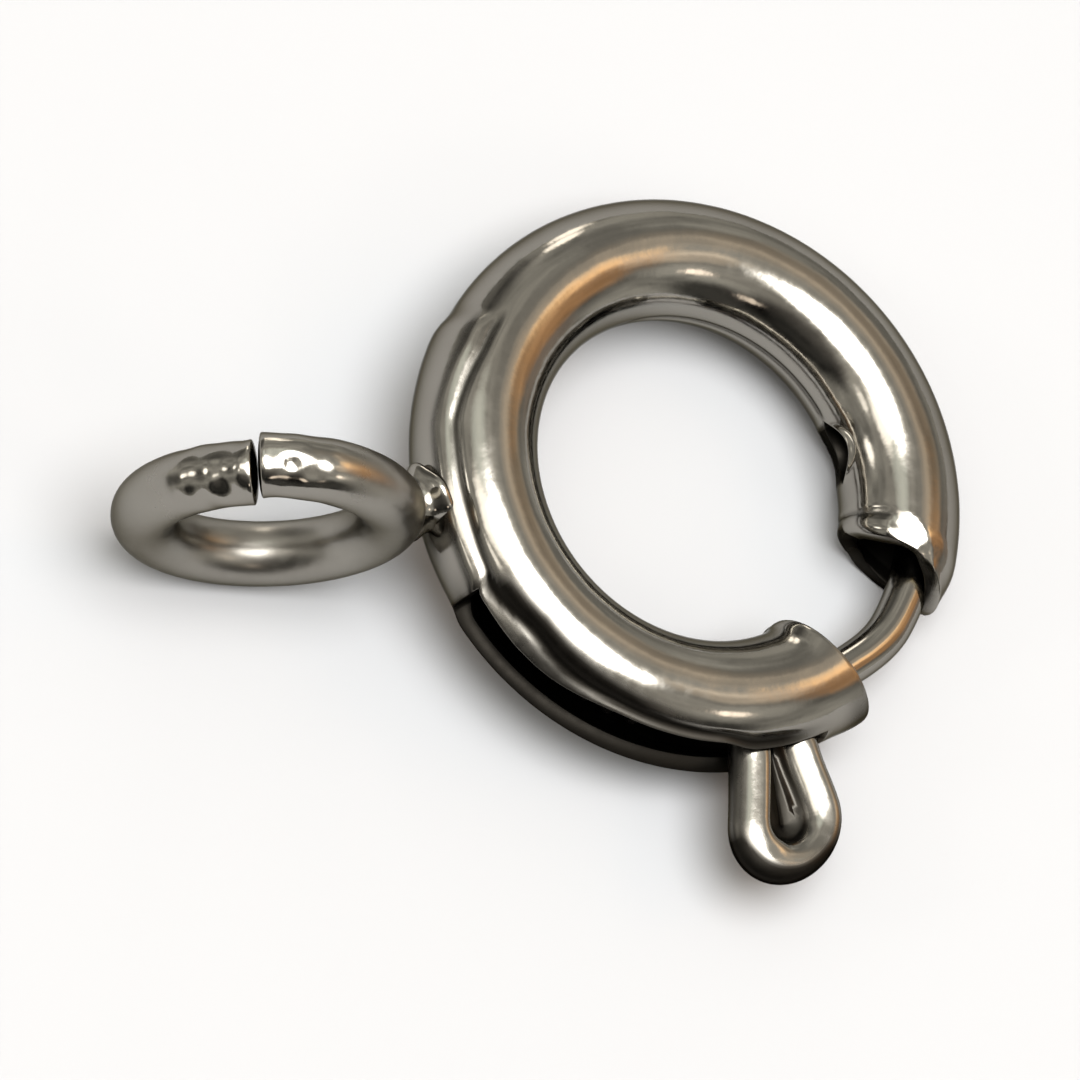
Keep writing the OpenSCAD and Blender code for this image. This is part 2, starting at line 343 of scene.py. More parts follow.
# Drawn spring wire is darker and duller, with oil on it, and its colour is made darker still as
# painted shade of the bore it lies in
spring_wire = metal("spring_wire", "#35322f", "#282624", "#35322f", rough_low=0.3,
                    rough_high=0.45, wave_mm=0.5, wave_height_mm=0.002, haze_mm=0.06,
                    haze_height_mm=0.001)
print("materials", [m.name for m in (polished_steel, spring_wire)])

# %% [markdown]
# ## The tube
# On the real clasp the ring starts as a strip of sheet, rolled into a tube whose edges meet on the
# inner side, and the tube is bent into a ring. A loop of edges is spun round the ring's centre in
# four parts, so that there are edges exactly where the slot starts and ends. The slot's faces are
# then deleted, and the seam's edges are split and drawn apart where the real seam gapes. Last,
# solidify gives the skin its wall inwards.

# %% Sweep the tube round the ring
SIDES, STEP = 144, 1.18
# Where the closed seam beside the eye starts
SEAM_FROM = 142
tube = bmesh.new()
loop = start_loop(tube, (RING_R, 0, 0), TUBE_R, SIDES, UPPER_END)
for v in verts_of(loop):
    theta, psi, rho = round_ring(v.co)
    # The two rows nearest to the slot's edges are moved onto them
    for edge in (SLOT_TOP, SLOT_LOW):
        if abs(psi - edge) < 180 / SIDES:
            v.co = on_ring(theta, edge, rho)
for part_from, part_to in ((UPPER_END, SEAM_FROM), (SEAM_FROM, SLOT_FROM), (SLOT_FROM, SLOT_TO),
                           (SLOT_TO, LOWER_END)):
    loop = sweep_bend(tube, loop, (0, 0, 0), part_to - part_from, STEP)
print("swept", len(tube.faces), "faces")

# %% Cut the slot
cut = []
for face in tube.faces:
    theta, psi, rho = round_ring(face.calc_center_median())
    if SLOT_FROM < theta < SLOT_TO and SLOT_LOW < psi < SLOT_TOP:
        cut.append(face)
bmesh.ops.delete(tube, geom=cut, context="FACES")
print("the slot took", len(cut), "faces")

# %% Split the seam on the inner side and draw it apart
SPLIT_FROM = UPPER_END + 0.92 * PER_MM
SPLIT_TO = SPLIT_FROM + 1.02 * PER_MM
SPLIT_H = 0.46
# How far round the tube the drawn sheet follows the seam's edges
SEAM_REACH = 60


def split_opening(share):
    """Half the split's height as degrees of psi. Share is 0 at its middle and 1 at its ends."""
    return math.degrees(math.asin(SPLIT_H / 2 * (1 - share * share) / TUBE_R))


seam = [e for e in tube.edges
        if all(abs(abs(round_ring(v.co)[1]) - 180) < 0.01
               and SPLIT_FROM <= round_ring(v.co)[0] <= SPLIT_TO for v in e.verts)]
ends = [round_ring(v.co)[0] for e in seam for v in e.verts]
split_middle, split_half = (min(ends) + max(ends)) / 2, (max(ends) - min(ends)) / 2
bmesh.ops.split_edges(tube, edges=seam)
for v in list(tube.verts):
    theta, psi, rho = round_ring(v.co)
    share = (theta - split_middle) / split_half
    from_seam = 180 - abs(psi)
    if abs(share) < 0.999 and from_seam < SEAM_REACH:
        opened = split_opening(share)
        above = sum(f.calc_center_median().z for f in v.link_faces) > 0
        moved = 180 - opened - from_seam * (1 - opened / SEAM_REACH)
        v.co = on_ring(theta, moved if above else -moved, rho)
print("the seam is split over", round(2 * split_half / PER_MM, 2), "mm")

# %% Give the sheet its thickness and round its edges
RIM_ROUND, SHARP = 0.02, math.radians(60)
bmesh.ops.recalc_face_normals(tube, faces=tube.faces)
bmesh.ops.solidify(tube, geom=tube.faces[:], thickness=TUBE_WALL)
depths = [round_ring(v.co)[2] for v in tube.verts]
print("the wall lies between", round(min(depths), 3), "and", round(max(depths), 3))
rims = []
for e in tube.edges:
    if len(e.link_faces) == 2 and e.calc_face_angle(0) > SHARP:
        rhos = [round_ring(v.co)[2] for v in e.verts]
        if abs(rhos[0] - rhos[1]) < TUBE_WALL / 2:
            rims.append(e)
bmesh.ops.bevel(tube, geom=rims, offset=RIM_ROUND, offset_type="OFFSET", segments=2, profile=0.5,
                affect="EDGES", material=-1, clamp_overlap=True)
print("rounded", len(rims), "edges")

# %% [markdown]
# ## Forming the sheet
# The sheet isn't a perfect torus. Beside the eye its closed seam stands proud with a groove along
# it, the slot's edges are turned outward, the upper mouth is nosed in and hammered flat on top, and
# the lower mouth is belled. These are low forms that follow the tube, so each is a function of how
# far round the ring and round the tube a point lies. It gives the mm by which the point moves out,
# and how much shade is painted on the point, which darkens the metal there. Outer is 1 on the
# tube's outer side and 0 in its bore.

# %% The closed seam beside the eye
SEAM_RISE = 0.06
# The groove along the seam's upper edge, as (theta, psi)
GROOVE = [(138, 60), (149, 57), (158, 49), (166, 42), (175, 43), (186, 42), (201, 37)]
GROOVE_DEPTH, CREASE_DEPTH = 0.02, 0.03


def seam_by_eye(theta, psi, outer):
    """The closed seam stands proud, with a groove along its upper edge."""
    top = along_line(GROOVE, theta)
    by_eye = ramp(theta, SEAM_FROM - 4, SEAM_FROM + 3) * ramp(theta, SLOT_FROM + 4, SLOT_FROM - 1)
    band = by_eye * slope(psi, top + 1, top - 11) * ramp(psi, -62, -54)
    groove = hill(psi, top + 4, 4) * ramp(theta, 136, 144) * ramp(theta, SLOT_FROM + 9, SLOT_FROM)
    out = outer * (SEAM_RISE * band - GROOVE_DEPTH * groove)
    # Shade is painted into the groove and along a line below it
    return out, 0.8 * groove + 0.6 * hill(psi, top - 15, 4) * by_eye


print("the seam's groove runs from theta", GROOVE[0][0], "to", GROOVE[-1][0])

# %% The slot's edges
# How much of the upper edge is turned outward, as (theta, degrees of psi), and the mm it then
# rises for each of those degrees
TURNED_EDGE = [(SLOT_FROM, 6), (214, 13), (224, 9), (240, 6), (SLOT_TO, 4)]
RISE_PER_DEGREE, LIP_RISE = 0.0052, 0.1


def slot_edges(theta, psi, outer):
    """The upper edge is turned outward, most near its start. The lower one stands out, with painted
    shade.
    """
    by_slot = ramp(theta, SLOT_FROM - 3, SLOT_FROM + 3) * ramp(theta, SLOT_TO + 2, SLOT_TO - 12)
    turned = along_line(TURNED_EDGE, theta)
    upper_lip = turned * by_slot * slope(psi, SLOT_TOP + turned, SLOT_TOP) * ramp(psi, 0, 10)
    crease = hill(psi, SLOT_TOP + turned + 3, 4) * by_slot
    by_lip = ramp(theta, SLOT_FROM - 1, SLOT_FROM + 4) * ramp(theta, SLOT_TO + 1, SLOT_TO - 4)
    lower_lip = (by_lip * ramp(psi, -84, SLOT_LOW - 8)
                 * ramp(psi, SLOT_LOW + 20, SLOT_LOW + 10))
    out = (RISE_PER_DEGREE * upper_lip + LIP_RISE * lower_lip
           - outer * CREASE_DEPTH * crease)

    # Shade is painted into the crease, on the upper lip and above it, and a little before the slot
    past_lip = psi - SLOT_TOP - turned
    on_lip = by_slot * ramp(past_lip, 2, 0)
    above_lip = by_slot * ramp(past_lip, -1, 2) * ramp(past_lip, 25, 13) * ramp(theta, 264, 238)
    before = ramp(theta, 193, 202) * ramp(theta, SLOT_FROM + 1, SLOT_FROM) * ramp(psi, 35, 20)
    dark = 0.9 * crease + (0.7 - 0.35 * ramp(theta, 224, 208)) * on_lip + above_lip + 0.35 * before
    # Shade is painted on the lower edge all along, but not on one small spot near its start
    below = ramp(theta, SLOT_FROM - 1, SLOT_FROM + 1) * ramp(theta, SLOT_TO + 2, SLOT_TO - 8)
    dark += below * ramp(psi, -95, -60) * ramp(psi, SLOT_TOP, 0)
    return out, dark - hill(math.hypot(theta - SLOT_FROM - 5, psi - SLOT_LOW + 16), 0, 4)


print("the slot's upper edge rises by up to",
      round(RISE_PER_DEGREE * max(turned for _, turned in TURNED_EDGE), 3), "mm")

# %% The rolled seam on the inner side
EDGE_SUNK, EDGE_TURNED = 0.08, 0.03


def rolled_seam(theta, psi, outer):
    """A crease, up to where the seam gapes: there one edge is sunk in, the other turned out."""
    crease = (hill(180 - abs(psi), 0, 3) * ramp(theta, 108, 84)
              * ramp(theta, SPLIT_TO - 2, SPLIT_TO + 3))
    # Shade is painted into the crease, and deep into the sunk edge where the seam gapes
    out, dark = -outer * CREASE_DEPTH * crease, 0.8 * crease
    share = (theta - split_middle) / split_half
    if abs(share) < 1 and abs(psi) > 100:
        gape = 1 - share * share
        from_edge = 180 - split_opening(share) - abs(psi)
        if psi < 0:
            out -= EDGE_SUNK * gape * ramp(from_edge, 30, 0)
            dark += 0.95 * ramp(gape, 0, 0.3) * ramp(from_edge, 62, 40)
        else:
            out += EDGE_TURNED * gape * ramp(from_edge, 7, 0)
    return out, dark


print("the split opens to", round(2 * split_opening(0), 1), "degrees round the tube")

# %% The two mouths
NOSE_IN, BELL_OUT, CURL_IN = 0.07, 0.03, 0.05
# The hammered flat: its middle's psi at the mouth, how much psi it turns by in each mm from
# there, how steeply it falls towards the mouth, and how far from the mouth it meets the tube
FLAT_AT, FLAT_TURN, FLAT_FALL, FLAT_LONG = 93, 60, 0.2, 0.37


def mouths(psi, outer, from_upper, from_lower):
    """The upper mouth is nosed in, hammered flat on top and curled in. The lower one is belled."""
    out = -NOSE_IN * ramp(from_upper, 0.28, 0) * ramp(abs(psi - 20), 72, 45)
    from_flat = min(60, abs(psi - FLAT_AT - FLAT_TURN * from_upper))
    flat_rho = (TUBE_R - FLAT_FALL * (FLAT_LONG - from_upper)) / math.cos(math.radians(from_flat))
    out -= outer * max(0, TUBE_R - flat_rho) * ramp(from_upper, 0.7, 0.5)
    out -= CURL_IN * slope(from_upper, 0.11, 0) ** 2 * ramp(abs(psi), 104, 125)
    # A shallow crease lies behind the curl
    crease = hill(from_upper, 0.33, 0.05) * ramp(abs(psi), 112, 130)
    out -= outer * CREASE_DEPTH * crease
    out += BELL_OUT * ramp(from_lower, 0.3, 0.02) * ramp(abs(psi - 75), 20, 60)
    out += BELL_OUT * ramp(from_lower, 0.5, 0.12) * hill(abs(psi), 155, 32)
    # Shade is painted into that crease, on the outer and lower side near the lower mouth, and
    # nearly black on the lower side of the upper mouth's end
    dark = 0.5 * crease + 0.7 * ramp(from_lower, 0.3, 0.08) * ramp(psi, 70, 20)
    return out, dark + 0.9 * ramp(from_upper, 0.2, 0.05) * ramp(-psi, 5, 30)


print("the upper mouth is nosed in by", NOSE_IN, "mm and the lower one belled by", BELL_OUT, "mm")

# %% Form the sheet
# How far the upper mouth's edge reaches towards the lower one, as (psi, mm)
UPPER_CUT = [(-180, -0.16), (-150, -0.2), (-110, -0.2), (-60, 0.02), (-30, 0.24), (0, 0.34),
             (28, 0.24), (55, 0.1), (80, -0.01), (110, -0.05), (140, -0.07), (180, -0.16)]
SLOT_HANG = 9
LOWER_LEAN = math.tan(math.radians(LOWER_SLANT))
painted_shade_layer = tube.verts.layers.float.new("painted_shade")
for v in tube.verts:
    theta, psi, rho = round_ring(v.co)
    inner = min(1, max(0, (TUBE_R - rho) / TUBE_WALL))
    outer = 1 - inner
    from_upper = (theta - UPPER_END) / PER_MM
    from_lower = (LOWER_END - theta) / PER_MM
    forms = (seam_by_eye(theta, psi, outer), slot_edges(theta, psi, outer),
             rolled_seam(theta, psi, outer), mouths(psi, outer, from_upper, from_lower))
    rho += sum(out for out, _ in forms)
    # Shade is painted nearly black into the bore and onto the cut edges
    dark = sum(dark for _, dark in forms) + 0.85 * ramp(inner, 0.12, 0.5)
    v[painted_shade_layer] = min(1, max(0, dark))

    # Near its start and near the trigger the slot's upper edge hangs lower on its outer side
    hangs = ramp(theta, SLOT_FROM - 3, SLOT_FROM + 2) * ramp(theta, 240, 220)
    hangs += ramp(theta, 261, 270) * ramp(theta, SLOT_TO + 12, SLOT_TO)
    psi -= SLOT_HANG * outer * hangs * hill(psi, SLOT_TOP, 14)

    # The upper end is cut along its curve, and the lower one at a slant
    side = rho * math.cos(math.radians(psi))
    degrees_per_mm = PER_MM * RING_R / (RING_R + side)
    theta -= along_curve(UPPER_CUT, psi) * ramp(from_upper, 0.8, 0) * degrees_per_mm
    theta += side * LOWER_LEAN * ramp(from_lower, 0.5, 0) * degrees_per_mm
    v.co = on_ring(theta, psi, rho)
finish_piece("ring_tube", tube, polished_steel, "ring", "ring_body")

# %% [markdown]
# ## The attaching eye
# The eye is a short piece of round wire bent into a ring of its own. Its two ends nearly touch, and
# tumbling has rounded them into small shining domes. The wire's loop is spun almost all the way
# round, and both open ends are closed with a dome of shrinking extrusions. The pliers that closed
# the eye left dents beside the gap, and the two halves don't quite meet, so the points there are
# moved. Where the eye meets the solder, shade is painted on it.

# %% Bend the eye's wire
DOME, END_GAP, EYE_SIDES, EYE_STEP = 0.045, 0.012, 64, 1.5
dome_angle = math.degrees((END_GAP / 2 + DOME) / EYE_RING_R)
eye = bmesh.new()
loop = start_loop(eye, (EYE_RING_R, 0, 0), EYE_R, EYE_SIDES, dome_angle)
last = sweep_bend(eye, loop, (0, 0, 0), 360 - 2 * dome_angle, EYE_STEP)
dome_end(eye, loop, DOME)
dome_end(eye, last, DOME)
bmesh.ops.recalc_face_normals(eye, faces=eye.faces)
EYE_PLACE = (Matrix.Translation((EYE_X, 0, 0)) @ Matrix.Rotation(math.radians(EYE_TURN), 4, "Z")
             @ Matrix.Rotation(math.radians(90), 4, "X")
             @ Matrix.Rotation(math.radians(180 - EYE_GAP_AT), 4, "Z"))
print("the eye's wire is bent through", round(360 - 2 * dome_angle, 1), "degrees")

# %% Dent the wire beside its gap
# The side of the wire that the pliers' teeth pressed on
toothed = EYE_PLACE.to_3x3().inverted() @ CAMERA_WAY
# Depths are shares of the wire's radius: all round, on each half, and at one deeper dimple
LUMPS_PER_MM, LUMP_DEPTH = 3.6, 0.06
TOOTH_STEP, TOOTH_DEPTH, FAR_TOOTH_DEPTH = 0.27, 0.07, 0.012
DIMPLE_DEPTH, DIMPLE_R, DIMPLE_PAST, DIMPLE_OUT, DIMPLE_UP = 0.11, 0.085, 0.3, 0.968, 0.25
DIMPLE = (Matrix.Rotation(-DIMPLE_PAST / EYE_RING_R, 3, "Z")
          @ Vector((EYE_RING_R + DIMPLE_OUT * EYE_R, 0, DIMPLE_UP * EYE_R)))
SET_BACK, SET_LOW = 0.03, 0.06
dull_layer = eye.verts.layers.float.new("dull")
for v in eye.verts:
    # Past is the way along the wire from its gap, in mm
    round_eye = math.degrees(math.atan2(v.co.y, v.co.x)) % 360
    past = min(round_eye, 360 - round_eye) * math.radians(EYE_RING_R)
    core = Vector((v.co.x, v.co.y, 0)).normalized() * EYE_RING_R
    lumps = ((noise.noise(v.co * LUMPS_PER_MM) - 0.4) * ramp(past, 0.9, 0.4)
             * ramp(past, 0.02, 0.14) * LUMP_DEPTH)
    on_top = max(0, (v.co - core).normalized().dot(toothed)) ** 2
    teeth = ((1 + math.cos(math.tau * past / TOOTH_STEP)) / 2 * ramp(past, 0.8, 0.6)
             * ramp(past, 0, 0.1) * on_top)
    dimple = hill((v.co - DIMPLE).length, 0, DIMPLE_R)
    if round_eye < 180:
        bitten = TOOTH_DEPTH * teeth
    else:
        bitten = FAR_TOOTH_DEPTH * teeth + DIMPLE_DEPTH * dimple
    v.co = core + (v.co - core) * (1 + lumps - bitten)
    # One half is set back, and the other a little lower
    v.co -= Vector((SET_BACK * ramp(round_eye, 80, 0), 0, SET_LOW * ramp(round_eye, 280, 360)))
    v[dull_layer] = ramp(past, 0.6, 1.1)
print("the deepest dimple is", round(DIMPLE_DEPTH * EYE_R, 3), "mm")

# %% Set the eye in its place
SOLDERED = on_ring(180, -3, TUBE_R + 0.1)
bmesh.ops.transform(eye, matrix=EYE_PLACE, verts=eye.verts)
# Shade is painted on the eye where it meets the solder
eye_painted_shade = eye.verts.layers.float.new("painted_shade")
for v in eye.verts:
    v[eye_painted_shade] = 0.85 * ramp((v.co - SOLDERED).length, 0.55, 0.3)
finish_piece("attaching_eye", eye, polished_steel, "ring", "ring_body")

# %% [markdown]
# ## The solder neck
# Solder runs into the corner between the eye and the tube and freezes there as a small waisted
# lump. Its outline is spun about the line between the two, and then a little noise makes it uneven.
# Shade is painted on its underside.

# %% Spin the solder and make it uneven
neck_from = on_ring(180, 0, TUBE_R - 0.06)
neck_to = (Vector((EYE_X, 0, 0))
           + Matrix.Rotation(math.radians(EYE_TURN), 3, "Z") @ Vector((EYE_RING_R, 0, 0)))
# The neck's outline, as (height from the tube, radius)
NECK_OUTLINE = [(0.0, 0.0), (0.0, 0.40), (0.05, 0.42), (0.12, 0.38), (0.17, 0.34), (0.22, 0.315),
                (0.28, 0.305), (0.34, 0.305), (0.40, 0.295), (0.47, 0.26), (0.53, 0.18),
                (0.56, 0.0)]
SOLDER_LUMPS_PER_MM, SOLDER_LUMP, LUMPS_FROM = 2.6, 0.28, Vector((4, 1, 7))
solder = bmesh.new()
points = [solder.verts.new((radius, 0, height)) for height, radius in NECK_OUTLINE]
lines = [solder.edges.new(pair) for pair in zip(points, points[1:])]
bmesh.ops.spin(solder, geom=points + lines, cent=(0, 0, 0), axis=(0, 0, 1), angle=math.tau,
               steps=40, use_merge=True)
bmesh.ops.remove_doubles(solder, verts=solder.verts, dist=1e-5)
bmesh.ops.recalc_face_normals(solder, faces=solder.faces)
bmesh.ops.subdivide_edges(solder, edges=solder.edges[:], cuts=1, use_grid_fill=True, smooth=0.6)
for v in solder.verts:
    lump = noise.noise(v.co * SOLDER_LUMPS_PER_MM + LUMPS_FROM)
    v.co += Vector((v.co.x, v.co.y, 0)) * SOLDER_LUMP * lump
neck_way = (neck_to - neck_from).normalized()
turn = Vector((0, 0, 1)).rotation_difference(neck_way).to_matrix().to_4x4()
bmesh.ops.transform(solder, matrix=Matrix.Translation(neck_from) @ turn, verts=solder.verts)
# Shade is painted on the solder's underside
solder_painted_shade = solder.verts.layers.float.new("painted_shade")
for v in solder.verts:
    v[solder_painted_shade] = 0.9 * ramp(v.co.z, 0.12, -0.02)
finish_piece("solder_neck", solder, polished_steel, "ring", "ring_body")

# %% [markdown]
# ## The bolt
# One piece of wire makes the whole bolt: the tongue that closes the mouth, a hairpin that comes out
# through the slot as the trigger, and a tail that the spring pushes on. The wire is drawn with the
# trigger along +X. The bends are tangent to the straights, as bent wire is, and the angles for that
# are worked out from the sizes. The maker then pressed the hairpin flat, so its points are moved.

# %% Work out the bolt's bends
BEND_TO_WIRE, TAIL_TO_WIRE = 0.6, 1.1
bend_r = BEND_TO_WIRE * BOLT_WIRE
leg_half = (TRIGGER_NECK_W - BOLT_WIRE) / 2
head_r = (TRIGGER_HEAD_W - BOLT_WIRE) / 2
head_x = RING_D / 2 + TRIGGER_OUT - BOLT_R - head_r
side = leg_half + bend_r
root_x = math.sqrt((BOLT_PATH_R + bend_r) ** 2 - side ** 2)
root_at = math.degrees(math.asin(side / (BOLT_PATH_R + bend_r)))
apart = math.hypot(head_x - root_x, side)
spread = math.degrees(math.atan2(head_x - root_x, side) - math.acos((bend_r + head_r) / apart))
leg_long = math.sqrt(apart ** 2 - (bend_r + head_r) ** 2)
leg_root = side - bend_r * math.cos(math.radians(spread))
tail_at = -math.degrees(math.asin(side / BOLT_PATH_R)) - TAIL_TO_WIRE * BOLT_WIRE * PER_MM
print("the trigger's legs spread by", round(spread, 1), "degrees each")

# %% Bend the bolt's wire
WIRE_SIDES, ARC_STEP, BEND_STEP, LEG_STEPS, WIRE_DOME = 48, 0.9, 4, 10, 0.12
wire = bmesh.new()
first = start_loop(wire, (BOLT_PATH_R, 0, 0), BOLT_R, WIRE_SIDES, BOLT_TIP - TRIGGER_AT)
loop = sweep_bend(wire, first, (0, 0, 0), root_at - (BOLT_TIP - TRIGGER_AT), ARC_STEP)
loop = sweep_bend(wire, loop, (root_x, side, 0), 90 - root_at + spread, BEND_STEP)
leg = Matrix.Rotation(math.radians(spread), 3, "Z") @ Vector((leg_long, 0, 0))
loop = sweep_straight(wire, loop, leg, LEG_STEPS)
loop = sweep_bend(wire, loop, (head_x, 0, 0), -180 - 2 * spread, BEND_STEP)
loop = sweep_straight(wire, loop, (-leg.x, leg.y, 0), LEG_STEPS)
loop = sweep_bend(wire, loop, (root_x, -side, 0), 90 - root_at + spread, BEND_STEP)
last = sweep_bend(wire, loop, (0, 0, 0), tail_at + root_at, ARC_STEP)
dome_end(wire, first, WIRE_DOME)
dome_end(wire, last, WIRE_DOME)
bmesh.ops.recalc_face_normals(wire, faces=wire.faces)
print("the wire is bent from", len(wire.verts), "points")

# %% A helper that presses the hairpin
TOP_H, TOP_FALL, TOP_SLANT, SQUEEZE = 0.97, 0.2, 0.2, 0.985


def press_hairpin(co, far):
    """Flattens the hairpin's top and squeezes its legs together below. Returns its painted shade.
    """
    # Reach is how far the point lies from the middle of the opening, and centre how far the
    # wire's own middle does
    on_head = Vector((max(0, co.x - head_x), co.y, 0))
    reach = on_head.length
    centre = min(head_r, leg_root + (co.x - root_x) * math.tan(math.radians(spread)))
    inward = centre - reach
    pressed = ramp(far, 0.02, 0.2)
    if co.z > 0:
        aside = -math.copysign(1, inward) * co.y / reach
        power = 2.2 + 2.2 * ramp(aside, 0, 0.6)
        bulge = math.sqrt(max(0, 1 - abs(inward / BOLT_R) ** power))
        flat_top = bulge * (TOP_H - TOP_FALL * far) * BOLT_R
        flat_top -= TOP_SLANT * inward * co.y / reach * co.z / BOLT_R
        co.z += (flat_top - co.z) * pressed
    # Shade is painted into the opening, on the head's outer side and on one leg's outer side
    hollow = ramp(inward, 0.05, 0.16) * ramp(co.z, 0.17, 0.06) * pressed
    outside = ramp(inward, -0.03, -0.1) * ramp(co.x, head_x - 0.1, head_x + head_r)
    one_leg = 0.6 * ramp(inward, -0.08, -0.16) * ramp(co.y, -0.1, -0.3)
    squeezed = ramp(inward, 0.02, 0.15) * ramp(co.z, 0.05, -0.1) * pressed
    co -= on_head * SQUEEZE * squeezed
    return min(1, 0.8 * hollow + outside + one_leg)


print("the pressed top stands", round(TOP_H * BOLT_R, 3), "mm above the wire's middle")

# %% Press the hairpin, spring the tongue and lean the trigger
ROOT_PINCH, TONGUE_OUT = 0.08, 0.12
wire_painted_shade = wire.verts.layers.float.new("painted_shade")
for v in wire.verts:
    far = (v.co.x - root_x) / (head_x + head_r - root_x)
    if far > 0 and abs(v.co.y) < side + BOLT_R:
        v[wire_painted_shade] = press_hairpin(v.co, far)
    if v.co.y > 0:
        # The leg by the tongue is pinched in, and the tongue springs out towards its tip
        v.co.y -= ROOT_PINCH * hill(v.co.x, root_x + 0.35, 0.45)
        along = math.degrees(math.atan2(v.co.y, v.co.x))
        v.co += Vector((v.co.x, v.co.y, 0)).normalized() * TONGUE_OUT * ramp(along, 20, 42)
    # The trigger leans away from the mouth, the more so the further out
    lean = max(0, v.co.x - root_x) / (head_x - root_x)
    v.co.rotate(Matrix.Rotation(math.radians(-TRIGGER_LEAN * lean), 3, "Z"))
bmesh.ops.rotate(wire, verts=wire.verts, cent=(0, 0, 0),
                 matrix=Matrix.Rotation(math.radians(TRIGGER_AT), 3, "Z"))
finish_piece("bolt_wire", wire, polished_steel, "bolt", "bolt")

# %% [markdown]
# ## The spring
# A coil spring lies in the tube behind the bolt, where nobody sees it. It is spun as a straight
# helix, which spin does when it is given a step along its axis, and the straight helix is then bent
# round the ring.

# %% Wind the spring and bend it round the ring
SPRING_WIRE, SPRING_TURNS, SPRING_ARC, SPRING_PLAY = 0.11, 20, 118, 0.07
coil_r = BORE_R - SPRING_PLAY - SPRING_WIRE / 2
spring_from = TRIGGER_AT + tail_at - BOLT_WIRE / 4 * PER_MM
steps = SPRING_TURNS * 36
coil = bmesh.new()
loop = start_loop(coil, (coil_r, 0, 0), SPRING_WIRE / 2, 12)
made = bmesh.ops.spin(coil, geom=loop, cent=(0, 0, 0), axis=(0, 0, 1),
                      angle=math.tau * SPRING_TURNS, steps=steps,
                      dvec=(0, 0, SPRING_ARC / PER_MM / steps))
for end in (loop, made["geom_last"]):
    dome_end(coil, end, 0.03, 3)
bmesh.ops.recalc_face_normals(coil, faces=coil.faces)
for v in coil.verts:
    theta = math.radians(spring_from - v.co.z * PER_MM)
    reach = RING_R + v.co.x
    v.co = Vector((reach * math.cos(theta), reach * math.sin(theta), v.co.y))
finish_piece("coil_spring", coil, spring_wire, "bolt", "spring")

# %% [markdown]
# ## The floor
# A plain pale sheet, large enough to reach the horizon in low views.

# %% Lay the floor
pale_sheet = bpy.data.materials.new("pale_sheet")
pale_sheet.use_nodes = True
paper = pale_sheet.node_tree.nodes["Principled BSDF"]
paper.inputs["Base Color"].default_value = linear("#bfc1c5")
paper.inputs["Roughness"].default_value = 0.9
paper.inputs["Specular IOR Level"].default_value = 0.1
HALF_SHEET = 1.5
sheet = bmesh.new()
bmesh.ops.create_grid(sheet, x_segments=1, y_segments=1, size=HALF_SHEET)
sheet_mesh = bpy.data.meshes.new("floor_sheet")
sheet.to_mesh(sheet_mesh)
sheet.free()
sheet_mesh.materials.append(pale_sheet)
floor_sheet = bpy.data.objects.new("floor_sheet", sheet_mesh)
bpy.context.scene.collection.objects.link(floor_sheet)
print("the floor is", 2 * HALF_SHEET, "m wide")

# %% [markdown]
# ## The light
# Polished metal shows little but what stands round it, so the light is most of its look. A soft
# white panel overhead gives the broad white streaks on the ring, a warm glow on the right gives the
# bronze bands, and the rest of the room is a dim warm grey. The room is painted on the world as
# soft round patches. One helper says where a patch is, one adds its light and one takes light away.

# %% Helpers that paint the room on the world
def towards(azimuth, elevation):
    """A direction from the clasp, by its angle round from +X and its height above the floor."""
    a, e = math.radians(azimuth), math.radians(elevation)
    return Vector((math.cos(a) * math.cos(e), math.sin(a) * math.cos(e), math.sin(e)))


room = bpy.data.worlds.new("studio_room")
room.use_nodes = True
bpy.context.scene.world = room
tree = room.node_tree
tree.nodes.clear()
room_way = add_node(tree, "ShaderNodeTexCoord").outputs["Generated"]


def share_of(azimuth, elevation, full, fade, **ends):
    """How much a soft round patch covers: all of it up to one angle, nothing past another."""
    near = add_node(tree, "ShaderNodeVectorMath", {"operation": "DOT_PRODUCT"}, Vector=room_way,
                    Vector1=towards(azimuth, elevation))
    share = add_node(tree, "ShaderNodeMapRange", {"interpolation_type": "SMOOTHSTEP"},
                     Value=near.outputs["Value"], From_Min=math.cos(math.radians(fade)),
                     From_Max=math.cos(math.radians(full)), **ends)
    return share.outputs["Result"]


def patch(light, azimuth, elevation, full, fade, colour, strength):
    """Adds a soft round patch of light to the room."""
    share = share_of(azimuth, elevation, full, fade)
    tone = [c * strength for c in linear(colour)[:3]]
    lit = add_node(tree, "ShaderNodeVectorMath", {"operation": "SCALE"}, Vector=tone, Scale=share)
    return add_node(tree, "ShaderNodeVectorMath", {"operation": "ADD"}, Vector=light,
                    Vector1=lit.outputs["Vector"]).outputs["Vector"]


def shade(light, azimuth, elevation, full, fade, keep):
    """Dims a soft round patch of the room to a share of its light."""
    share = share_of(azimuth, elevation, full, fade, To_Min=1.0, To_Max=keep)
    return add_node(tree, "ShaderNodeVectorMath", {"operation": "SCALE"}, Vector=light,
                    Scale=share).outputs["Vector"]


# %% Paint the room
# Each patch is its azimuth, elevation, full angle, fading angle, colour and strength, and each
# shade ends in the share of light that it keeps
WARM_WALL = (-6, 26, 18, 34, 0.5)
WARM_GLOWS = [(19, 36, 6, 24, "#dcb88c", 0.4), (-8, 34, 8, 22, "#eda245", 0.72),
              (2, 46, 2, 10, "#f4c890", 0.9), (-20, 54, 3, 13, "#ffe4c4", 0.6),
              (-7, 6, 6, 18, "#b07038", 0.15)]
DARK_SIDE = [(-124, 32, 20, 33, 0.1), (-85, 12, 14, 30, 0.15), (110, 18, 8, 26, 0.35),
             (170, 8, 8, 24, 0.35)]
